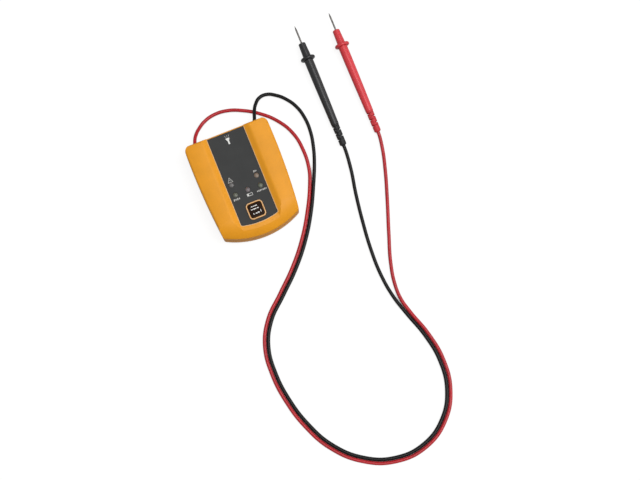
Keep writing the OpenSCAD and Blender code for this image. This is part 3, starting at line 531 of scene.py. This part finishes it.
def dress(nodes, material):
    """Gives the solids' own meshes a material."""
    for name in nodes:
        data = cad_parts[name].data
        if len(data.materials) == 0:
            data.materials.append(material)
        for place in range(len(data.materials)):
            data.materials[place] = material
        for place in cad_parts[name].material_slots:
            place.material = material


def softened(node, material, body, turn=30):
    """A copy of a solid's mesh that stands for it.

    Its corners are merged, and edges that turn less than turn degrees look smooth.
    """
    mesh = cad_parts[node].data.copy()
    mesh.name = f"{node}_skin"
    if "custom_normal" in mesh.attributes:
        mesh.attributes.remove(mesh.attributes["custom_normal"])
    shape = bmesh.new()
    shape.from_mesh(mesh)
    bmesh.ops.remove_doubles(shape, verts=shape.verts, dist=0.002 * MM)
    bmesh.ops.dissolve_degenerate(shape, edges=shape.edges, dist=0.002 * MM)
    for face in shape.faces:
        face.smooth = True
    for edge in shape.edges:
        edge.smooth = edge.calc_face_angle(math.pi) < math.radians(turn)
    shape.to_mesh(mesh)
    shape.free()
    mesh.materials.clear()
    mesh.materials.append(material)
    skin = bpy.data.objects.new(f"{node}_skin", mesh)
    bpy.context.collection.objects.link(skin)
    even = skin.modifiers.new("even_normals", "WEIGHTED_NORMAL")
    even.keep_sharp = True
    even.weight = 50
    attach(skin, body)
    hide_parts(node)


def colour_of(prop):
    """A colour property as four numbers in linear light."""
    return (*prop[:3], 1.0)


def colour_property(name, description, red, green, blue):
    """A colour picker whose default is given as 0 to 255 per channel."""
    return bpy.props.FloatVectorProperty(
        name=name, description=description, subtype="COLOR", size=3, min=0.0, max=1.0,
        default=linear(red, green, blue)[:3])


# Settings

class StageSettings(bpy.types.PropertyGroup):
    azimuth: bpy.props.FloatProperty(
        name="Azimuth", description="Direction the camera looks from, round the upright axis",
        default=math.radians(-22), subtype="ANGLE")
    elevation: bpy.props.FloatProperty(
        name="Elevation", description="Height of the camera above the horizon",
        default=math.radians(80), subtype="ANGLE")
    distance: bpy.props.FloatProperty(
        name="Distance", description="Distance from the camera to its target", default=1.5, unit="LENGTH")
    lens: bpy.props.FloatProperty(name="Lens", description="Focal length in millimetres", default=84.4)
    target: bpy.props.FloatVectorProperty(
        name="Target", description="Point on the table in the middle of the picture", size=3,
        default=(0.0488, -0.078, 0.0), subtype="TRANSLATION", unit="LENGTH")
    sky: bpy.props.FloatProperty(name="Sky", description="Strength of the even light", default=0.38, min=0.0)
    sun: bpy.props.FloatProperty(
        name="Lamps", description="Strength that the key, side and fill lights share", default=2.0, min=0.0)


class LeadSettings(bpy.types.PropertyGroup):
    diameter: bpy.props.FloatProperty(
        name="Diameter", description="Outside diameter of a lead", default=LEAD_MM * MM, unit="LENGTH")
    red: colour_property("Red lead", "Jacket of the red lead", 176, 22, 34)
    black: colour_property("Black lead", "Jacket of the black lead", 12, 12, 13)


class CaseSettings(bpy.types.PropertyGroup):
    shell: colour_property("Shell", "Moulded plastic of the case", 228, 151, 14)
    # Pale cream of the rounded trim: a painted highlight on its edge over the amber plastic.
    edge: colour_property("Edge", "Thin rounded trim beside the film and round the key", 222, 182, 134)
    film: colour_property("Film", "Printed film of the panel", 51, 52, 52)
    ink: colour_property("Ink", "Printed marks", 232, 232, 228)
    faint: colour_property("Faint ink", "Thin printed marks", 190, 189, 185)
    key: colour_property("Key", "Plastic of the push button", 36, 19, 8)
    bead: bpy.props.FloatProperty(
        name="Frame bead", description="Height of the rounded bead on the frame of the key",
        default=0.4 * MM, unit="LENGTH")


class ProbeSettings(bpy.types.PropertyGroup):
    red: colour_property("Red handle", "Plastic of the red probe", 210, 52, 60)
    black: colour_property("Black handle", "Plastic of the black probe", 30, 31, 33)
    needle: colour_property("Needle", "Plated metal of the needles", 128, 125, 121)


# Operators

class TESTER_OT_stage(bpy.types.Operator):
    """Camera at the photograph's angle, a pale floor that keeps the shadow, and soft light"""

    bl_idname = "tester.stage"
    bl_label = "Stage"

    def execute(self, context):
        settings = context.scene.tester_stage
        turn, rise = settings.azimuth, settings.elevation
        back = Vector((math.sin(turn) * math.cos(rise), -math.cos(turn) * math.cos(rise), math.sin(rise)))
        camera = bpy.data.objects.new("camera", bpy.data.cameras.new("camera"))
        context.collection.objects.link(camera)
        camera.data.lens = settings.lens
        camera.data.sensor_width = 36
        camera.data.clip_end = 20
        camera.location = Vector(settings.target) + back * settings.distance
        camera.rotation_mode = "QUATERNION"
        camera.rotation_quaternion = (-back).to_track_quat("-Z", "Y")
        context.scene.camera = camera
        context.scene.view_settings.view_transform = "Standard"
        self.floor(context)
        self.light(context, settings)
        return {"FINISHED"}

    def floor(self, context):
        """A flat square, white to the camera and still darkened by the object's shadow, with painted shade
        where ambient occlusion dims its glow close to the object.
        """
        finish = Finish("pale_table")
        path = {name: finish.node("ShaderNodeLightPath", output=name)
                for name in ("Is Camera Ray", "Is Glossy Ray", "Is Transmission Ray")}
        mirrored = path["Is Glossy Ray"] + path["Is Transmission Ray"]
        seen = path["Is Camera Ray"] + mirrored
        bright = path["Is Camera Ray"] + mirrored * 0.5
        grain = finish.noise(4)
        shaded = finish.mix(seen.rises(0, 1), linear(138, 138, 138), linear(110, 110, 110))
        dusted = finish.mix(grain * 0.02, shaded, linear(200, 200, 200))
        surface = finish.node("ShaderNodeBsdfDiffuse", None, {"Color": dusted})
        # Painted shade: ambient occlusion dims the white glow in crevices, such as between the two leads.
        open_sky = finish.node(
            "ShaderNodeAmbientOcclusion", {"samples": 8}, {"Distance": 0.003}, "AO").rises(0.05, 0.6)
        glow = finish.node(
            "ShaderNodeEmission", None, {"Color": (1, 1, 1, 1), "Strength": bright * open_sky * 0.87})
        both = finish.node("ShaderNodeAddShader", None, {0: surface, 1: glow})
        material = finish.surface(both)
        flat = slab(0, 0, TABLE_MM, TABLE_MM, step=TABLE_MM)
        form = Form().grid(np.dstack([flat, np.zeros(flat.shape[:2])]))
        form.thing("table", material, smooth=False)

    def light(self, context, settings):
        """Even light from the world, white where the camera sees it, and the three soft lamps."""
        world = bpy.data.worlds.new("studio")
        context.scene.world = world
        sky = Shading(world)
        seen = sky.node("ShaderNodeLightPath", output="Is Camera Ray")
        strength = sky.node("ShaderNodeMapRange", None, {"Value": seen, "To Min": settings.sky, "To Max": 1.0})
        background = sky.node("ShaderNodeBackground", None, {"Color": (1, 1, 1, 1), "Strength": strength})
        sky.node("ShaderNodeOutputWorld", None, {"Surface": background})
        for name, (share, spread, aim) in LAMPS.items():
            data = bpy.data.lights.new(name, "SUN")
            data.energy = settings.sun * share
            data.angle = math.radians(spread)
            lamp = bpy.data.objects.new(name, data)
            context.collection.objects.link(lamp)
            lamp.rotation_mode = "QUATERNION"
            lamp.rotation_quaternion = Vector(aim).to_track_quat("Z", "Y")


class TESTER_OT_leads(bpy.types.Operator):
    """The two soft leads on their routes over the table, each with its probe on its end"""

    bl_idname = "tester.leads"
    bl_label = "Leads"

    def execute(self, context):
        settings = context.scene.tester_leads
        half = PAIR_MM / 2
        red = np.vstack([RED_START, beside(RUN, half), RED_END])
        black = np.vstack([BLACK_START, beside(RUN, -half), BLACK_END])
        red_jacket = cord_skin("red_jacket", colour_of(settings.red), 0.34, RED_GLOSS)
        black_jacket = cord_skin("black_jacket", colour_of(settings.black), 0.38, BLACK_GLOSS)
        self.lead("red", red, settings.diameter, red_jacket)
        self.lead("black", black, settings.diameter, black_jacket)
        return {"FINISHED"}

    def lead(self, colour, route, diameter, material):
        """One open curve through the route, straight out of the grommet and straight into the tilted boot."""
        curve = bpy.data.curves.new(f"{colour}_lead_cord", "CURVE")
        curve.dimensions = "3D"
        curve.resolution_u = 10
        curve.bevel_depth = diameter / 2
        curve.bevel_resolution = 6
        curve.use_fill_caps = True
        spline = curve.splines.new("BEZIER")
        spline.bezier_points.add(len(route) - 1)
        for point, place in zip(spline.bezier_points, route):
            point.co = place * MM
            point.handle_left_type = point.handle_right_type = "AUTO"
        cord = bpy.data.objects.new(f"{colour}_lead_cord", curve)
        bpy.context.collection.objects.link(cord)
        bpy.context.view_layer.update()
        heading = {0: Vector((0, 1, 0)), -1: Vector((0, math.cos(TILT), math.sin(TILT)))}
        for place, near in ((0, 1), (-1, -2)):
            point, other = spline.bezier_points[place], spline.bezier_points[near]
            third = (other.co - point.co).length / 3
            point.handle_left_type = point.handle_right_type = "FREE"
            point.handle_left = point.co - heading[place] * third
            point.handle_right = point.co + heading[place] * third
        curve.materials.append(material)
        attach(cord, "case")
        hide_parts(f"{colour}_lead")
        bpy.context.view_layer.update()

    def length(self, spline):
        """Sum of short chords along each cubic span between two points and their handles."""
        share = np.linspace(0, 1, 33)[:, None]
        rest = 1 - share
        total = 0.0
        for first, second in zip(spline.bezier_points[:-1], spline.bezier_points[1:]):
            a, b, c, d = (np.array(v) for v in (first.co, first.handle_right, second.handle_left, second.co))
            line = rest ** 3 * a + 3 * rest ** 2 * share * b + 3 * rest * share ** 2 * c + share ** 3 * d
            total += float(np.linalg.norm(np.diff(line, axis=0), axis=1).sum())
        return total


class TESTER_OT_shells(bpy.types.Operator):
    """Moulded finish of the two shells and the battery cover, and the rounded bead round the key"""

    bl_idname = "tester.shells"
    bl_label = "Shells"

    def execute(self, context):
        settings = context.scene.tester_case
        plastic = moulded_plastic("amber_plastic", colour_of(settings.shell), 0.5, gloss=0.4)
        for node in ("top_shell", "bottom_shell", "battery_cover"):
            softened(node, plastic, "case")
        # Painted shade: the seam's dark colour stands in for the shadow in the groove between the shells.
        self.seam(moulded_plastic("shaded_seam", shade(colour_of(settings.shell), 0.3), 0.7, gloss=0.1))
        # Painted highlight: the trim's pale cream colour stands in for light on its rounded edge.
        edge = moulded_plastic("edge_highlight_paint", colour_of(settings.edge), 0.4)
        self.bead(settings, edge)
        self.lip(edge)
        return {"FINISHED"}

    def seam(self, plastic):
        """Painted shade of the groove where the shells meet: a dark, low four-cornered section carried round
        the case's plan.
        """
        outline, normals = case_outline()
        heights = SPLIT_MM + SEAM_HALF_MM * np.array([-1, -1, 1, 1])
        proud = np.array([-SEAM_SUNK_MM, SEAM_PROUD_MM, SEAM_PROUD_MM, -SEAM_SUNK_MM])
        flat = outline[:, None, :] + normals[:, None, :] * proud[None, :, None]
        section = Form().grid(np.dstack([flat, np.broadcast_to(heights, flat.shape[:2])]), round_rows=True)
        section.piece("parting_line", plastic, "case", "case_plastic")

    def lip(self, plastic):
        """Rounded lip of the channel beside the film; its pale cream colour is a painted highlight on the
        rounded edge.

        A half circle, flattened to its height, is carried down one side, along the arc at the bottom
        end and up the other side.
        """
        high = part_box("panel_film")[1]
        half, top = high.x / MM + LIP_AWAY_MM, top_of("panel_film") + LIP_LIFT_MM
        radius = ARC_MM - FILM_GAP_MM + LIP_AWAY_MM
        centre = ARC_MM - CASE_END_MM
        turn = math.asin(half / radius)
        angle = np.linspace(-turn, turn, 25)
        arc = np.stack([radius * np.sin(angle), centre - radius * np.cos(angle)], axis=1)
        side = np.linspace(high.y / MM, arc[0, 1] + LIP_JOIN_MM, 20)
        path = np.vstack([
            np.stack([np.full(side.size, -half), side], axis=1), arc[1:-1],
            np.stack([np.full(side.size, half), side[::-1]], axis=1)])
        along = np.gradient(path, axis=0)
        along /= np.linalg.norm(along, axis=1)[:, None]
        normal = np.stack([along[:, 1], -along[:, 0]], axis=1)
        angle = np.radians(np.linspace(180, 0, 9))
        flat = path[:, None, :] + normal[:, None, :] * (LIP_HALF_MM * np.cos(angle))[None, :, None]
        up = np.broadcast_to(top + LIP_RISE_MM * np.sin(angle), flat.shape[:2])
        Form().grid(np.dstack([flat, up])).piece("channel_lip", plastic, "case", "case_plastic")

    def bead(self, settings, plastic):
        """Rounded bead on the frame of the key; its pale cream colour is a painted highlight on the rounded
        edge.

        A half circle, flattened to its height, is carried round a square with rounded corners.
        """
        x, y, _ = middle_of("button_key")
        outline, normals = rounded_square(FRAME_MM, FRAME_CORNER_MM)
        angle = np.radians(np.linspace(180, 0, 13))
        out = BEAD_HALF_MM * np.cos(angle)
        up = settings.bead / MM * np.sin(angle) + FRAME_TOP_MM
        flat = outline[:, None, :] + normals[:, None, :] * out[None, :, None]
        points = np.dstack([flat, np.broadcast_to(up, flat.shape[:2])]) + [x, y, 0]
        Form().grid(points, round_rows=True).piece("key_frame_bead", plastic, "case", "case_plastic")


class TESTER_OT_panel(bpy.types.Operator):
    """Satin film of the panel with its printed marks"""

    bl_idname = "tester.panel_print"
    bl_label = "Panel"

    def execute(self, context):
        settings = context.scene.tester_case
        dress(["panel_film"], film_skin("panel_film_skin", colour_of(settings.film)))
        white = ink("white_ink", colour_of(settings.ink))
        height = top_of("panel_film")
        for name, flats, tone in (
                ("panel_signs", self.signs(), white),
                ("panel_marks", self.faint_marks(), ink("faint_ink", colour_of(settings.faint)))):
            marks = printed(flats, lambda x, y: np.full(x.shape, height))
            marks.piece(name, tone, "case", "film", smooth=False)
        return {"FINISHED"}

    def signs(self):
        """Torch sign and the battery sign with its first third filled, as flat grids with their closed flag."""
        torch = np.array([
            [[-0.6, 41.5], [1.0, 41.5]], [[-0.7, 45.3], [0.9, 45.3]],
            [[-1.7, 46.6], [1.9, 46.6]], [[-1.8, 48.0], [2.0, 48.0]],
        ])
        battery = ribbon([(-2.7, -14.9), (2.7, -14.9), (2.7, -12.5), (-2.7, -12.5)], 0.36, closed=True)
        charge = slab(-1.85, -13.7, 1.7, 2.4)
        return [(torch, False), (battery, True), (charge, False)]

    def faint_marks(self):
        """Rays of the torch, warning triangle and dashes by the lamps, as flat grids with their closed flag."""
        rays = [ribbon([(low, 49.0), (high, 51.0)], 0.3)
                for low, high in ((-1.2, -1.8), (0.5, 0.5), (2.0, 2.5))]
        triangle = ribbon([(-15.6, 4.8), (-10.7, 4.8), (-13.15, 9.6)], 0.4, closed=True)
        stroke = ribbon([(-13.15, 7.8), (-13.15, 6.0)], 0.45)
        by_low_left = [(-16.3 + 1.75 * place, -13.6, 1.1, 1.5 if place % 2 else 2.1) for place in range(4)]
        by_low_right = [(8.3 + 1.5 * place, -13.6, 0.95, 1.7 if place % 3 else 1.2) for place in range(7)]
        by_high_right = [(12.1 + 1.2 * place, 6.6, 0.75, 2.0 - 0.4 * place) for place in range(3)]
        dashes = [slab(x, y, width, height, slant=0.15)
                  for x, y, width, height in by_low_left + by_low_right + by_high_right]
        open_strokes = [(flat, False) for flat in (stroke, *dashes)]
        return [(ray, False) for ray in rays] + [(triangle, True)] + open_strokes


class TESTER_OT_key(bpy.types.Operator):
    """Dark key with its printed signs, and the switch under it"""

    bl_idname = "tester.key"
    bl_label = "Key"

    def execute(self, context):
        settings = context.scene.tester_case
        plastic = moulded_plastic(
            "key_plastic", colour_of(settings.key), 0.5, grain_mm=0.25, depth_mm=0.012, gloss=0.1)
        softened("button_key", plastic, "button")
        dress(["switch_body"], moulded_plastic("switch_black", linear(24, 24, 25), 0.45))
        dress(["switch_plunger"], moulded_plastic("switch_white", linear(226, 222, 212), 0.4))
        x0, y0, _ = middle_of("button_key")
        top = top_of("button_key")

        def dome(x, y):
            """Height of the key's face: a sphere's cap with its highest point in the middle."""
            return top - KEY_DOME_MM + np.sqrt(KEY_DOME_MM ** 2 - (x - x0) ** 2 - (y - y0) ** 2)

        dashes = (
            (-3.0, 4.0, 1.3, 1.0), (-1.2, 4.0, 1.5, 0.8), (1.2, 4.0, 2.5, 1.0),
            (-3.8, 1.1, 2.0, 0.9), (-0.9, 1.1, 2.6, 1.1), (2.3, 1.1, 2.3, 0.9),
            (-3.4, -3.4, 0.8, 1.5), (-0.6, -3.5, 2.0, 1.0), (1.7, -3.4, 1.6, 1.3), (4.2, -2.5, 0.7, 2.5),
        )
        flats = [(slab(x0 + x, y0 + y, width, height, step=0.6), False) for x, y, width, height in dashes]
        white = ink("key_ink", colour_of(settings.ink))
        printed(flats, dome).piece("key_marks", white, "button", "key_plastic", smooth=False)
        return {"FINISHED"}


class TESTER_OT_lamps(bpy.types.Operator):
    """Lenses of the five panel lamps and of the torch lamp"""

    bl_idname = "tester.lamps"
    bl_label = "Lamps"

    def execute(self, context):
        pale = linear(190, 186, 176)
        for name, tint in (
            ("lamp_high_left", (98, 96, 96)), ("lamp_high_right", (120, 105, 92)),
            ("lamp_low_left", (92, 94, 84)), ("lamp_low_right", (92, 97, 84)),
            ("lamp_battery", (104, 96, 99)),
        ):
            x, y, _ = middle_of(name)
            dress([name], lens(f"{name}_lens", linear(*tint), x, y, pale))
        dress(["torch_lamp"], torch_lens("torch_lens", linear(222, 224, 226)))
        return {"FINISHED"}


class TESTER_OT_probes(bpy.types.Operator):
    """Moulded handles, soft boots and plated needles of the two probes"""

    bl_idname = "tester.probes"
    bl_label = "Probes"

    def execute(self, context):
        settings = context.scene.tester_probes
        for colour in ("red", "black"):
            body = colour_of(getattr(settings, colour))
            handle = moulded_plastic(f"{colour}_handle_plastic", body, 0.34, grain_mm=0.5, depth_mm=0.015)
            boot = moulded_plastic(f"{colour}_boot_rubber", shade(body, 0.85), 0.5, grain_mm=0.4, gloss=0.35)
            needle = turned_metal(f"{colour}_needle_plate", colour_of(settings.needle), 0.26, groove_mm=0.35)
            for part, finish in zip(PROBE_PARTS, (boot, handle, needle)):
                dress([f"{colour}_{part}"], finish)
        return {"FINISHED"}


class TESTER_OT_inside(bpy.types.Operator):
    """What the case holds: board, components, cells, contacts, screws, grommets and lead ends"""

    bl_idname = "tester.inside"
    bl_label = "Inside"

    def execute(self, context):
        leads = context.scene.tester_leads
        dress(["circuit_board"], board_skin("green_board", linear(24, 92, 52)))
        dress(["controller_chip"], moulded_plastic("chip_epoxy", linear(26, 26, 28), 0.5))
        dress(["buzzer"], moulded_plastic("buzzer_black", linear(22, 22, 22), 0.42))
        sleeve = moulded_plastic("capacitor_sleeve", linear(30, 40, 78), 0.3, grain_mm=0.8, depth_mm=0.01)
        dress(["smoothing_capacitor"], sleeve)
        lacquer = moulded_plastic("disc_lacquer", linear(186, 110, 36), 0.3, grain_mm=1.2, depth_mm=0.05)
        dress(["protection_left", "protection_right"], lacquer)
        body, band = linear(34, 34, 36), linear(176, 122, 52)
        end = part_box("cell_right")[1].y / MM
        dress(["cell_right"], cell_sleeve("cell_sleeve_up", body, band, end - BAND_FAR_MM, end - BAND_NEAR_MM))
        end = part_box("cell_left")[0].y / MM
        dress(["cell_left"], cell_sleeve("cell_sleeve_down", body, band, end + BAND_NEAR_MM, end + BAND_FAR_MM))
        nickel = turned_metal("nickel_strip", linear(196, 192, 182), 0.32, groove_mm=0.6, axis="Z")
        dress(["contact_positive", "contact_negative", "contact_bridge"], nickel)
        zinc = turned_metal("zinc_screw", linear(176, 176, 180), 0.34, groove_mm=0.4, axis="Z")
        dress(["case_screws", "cover_screw"], zinc)
        dress(["red_grommet", "black_grommet"], moulded_plastic("grommet_rubber", linear(30, 30, 32), 0.6))
        dress(["red_lead_tail"], cord_skin("red_tail", colour_of(leads.red), 0.4, RED_GLOSS))
        dress(["black_lead_tail"], cord_skin("black_tail", colour_of(leads.black), 0.4, BLACK_GLOSS))
        return {"FINISHED"}


class TESTER_PT_panel(bpy.types.Panel):
    """Sidebar panel with the tester's settings and steps"""

    bl_idname = "TESTER_PT_panel"
    bl_label = "Continuity Tester"
    bl_space_type = "VIEW_3D"
    bl_region_type = "UI"
    bl_category = "Tester"

    def draw(self, context):
        layout = self.layout
        for group, owner in SETTINGS.items():
            box = layout.box()
            for prop in owner.__annotations__:
                box.prop(getattr(context.scene, group), prop)
        for operator in OPERATORS:
            layout.operator(operator.bl_idname)


SETTINGS = {
    "tester_stage": StageSettings,
    "tester_leads": LeadSettings,
    "tester_case": CaseSettings,
    "tester_probes": ProbeSettings,
}
OPERATORS = (
    TESTER_OT_stage, TESTER_OT_leads, TESTER_OT_probes, TESTER_OT_shells, TESTER_OT_panel, TESTER_OT_key,
    TESTER_OT_lamps, TESTER_OT_inside,
)


def register():
    for item in (*SETTINGS.values(), *OPERATORS, TESTER_PT_panel):
        bpy.utils.register_class(item)
    for group, owner in SETTINGS.items():
        setattr(bpy.types.Scene, group, bpy.props.PointerProperty(type=owner))


def unregister():
    for group in SETTINGS:
        delattr(bpy.types.Scene, group)
    for item in reversed((*SETTINGS.values(), *OPERATORS, TESTER_PT_panel)):
        bpy.utils.unregister_class(item)


def main():
    register()
    for operator in OPERATORS:
        getattr(bpy.ops.tester, operator.bl_idname.split(".")[1])()


if __name__ == "__main__":
    main()
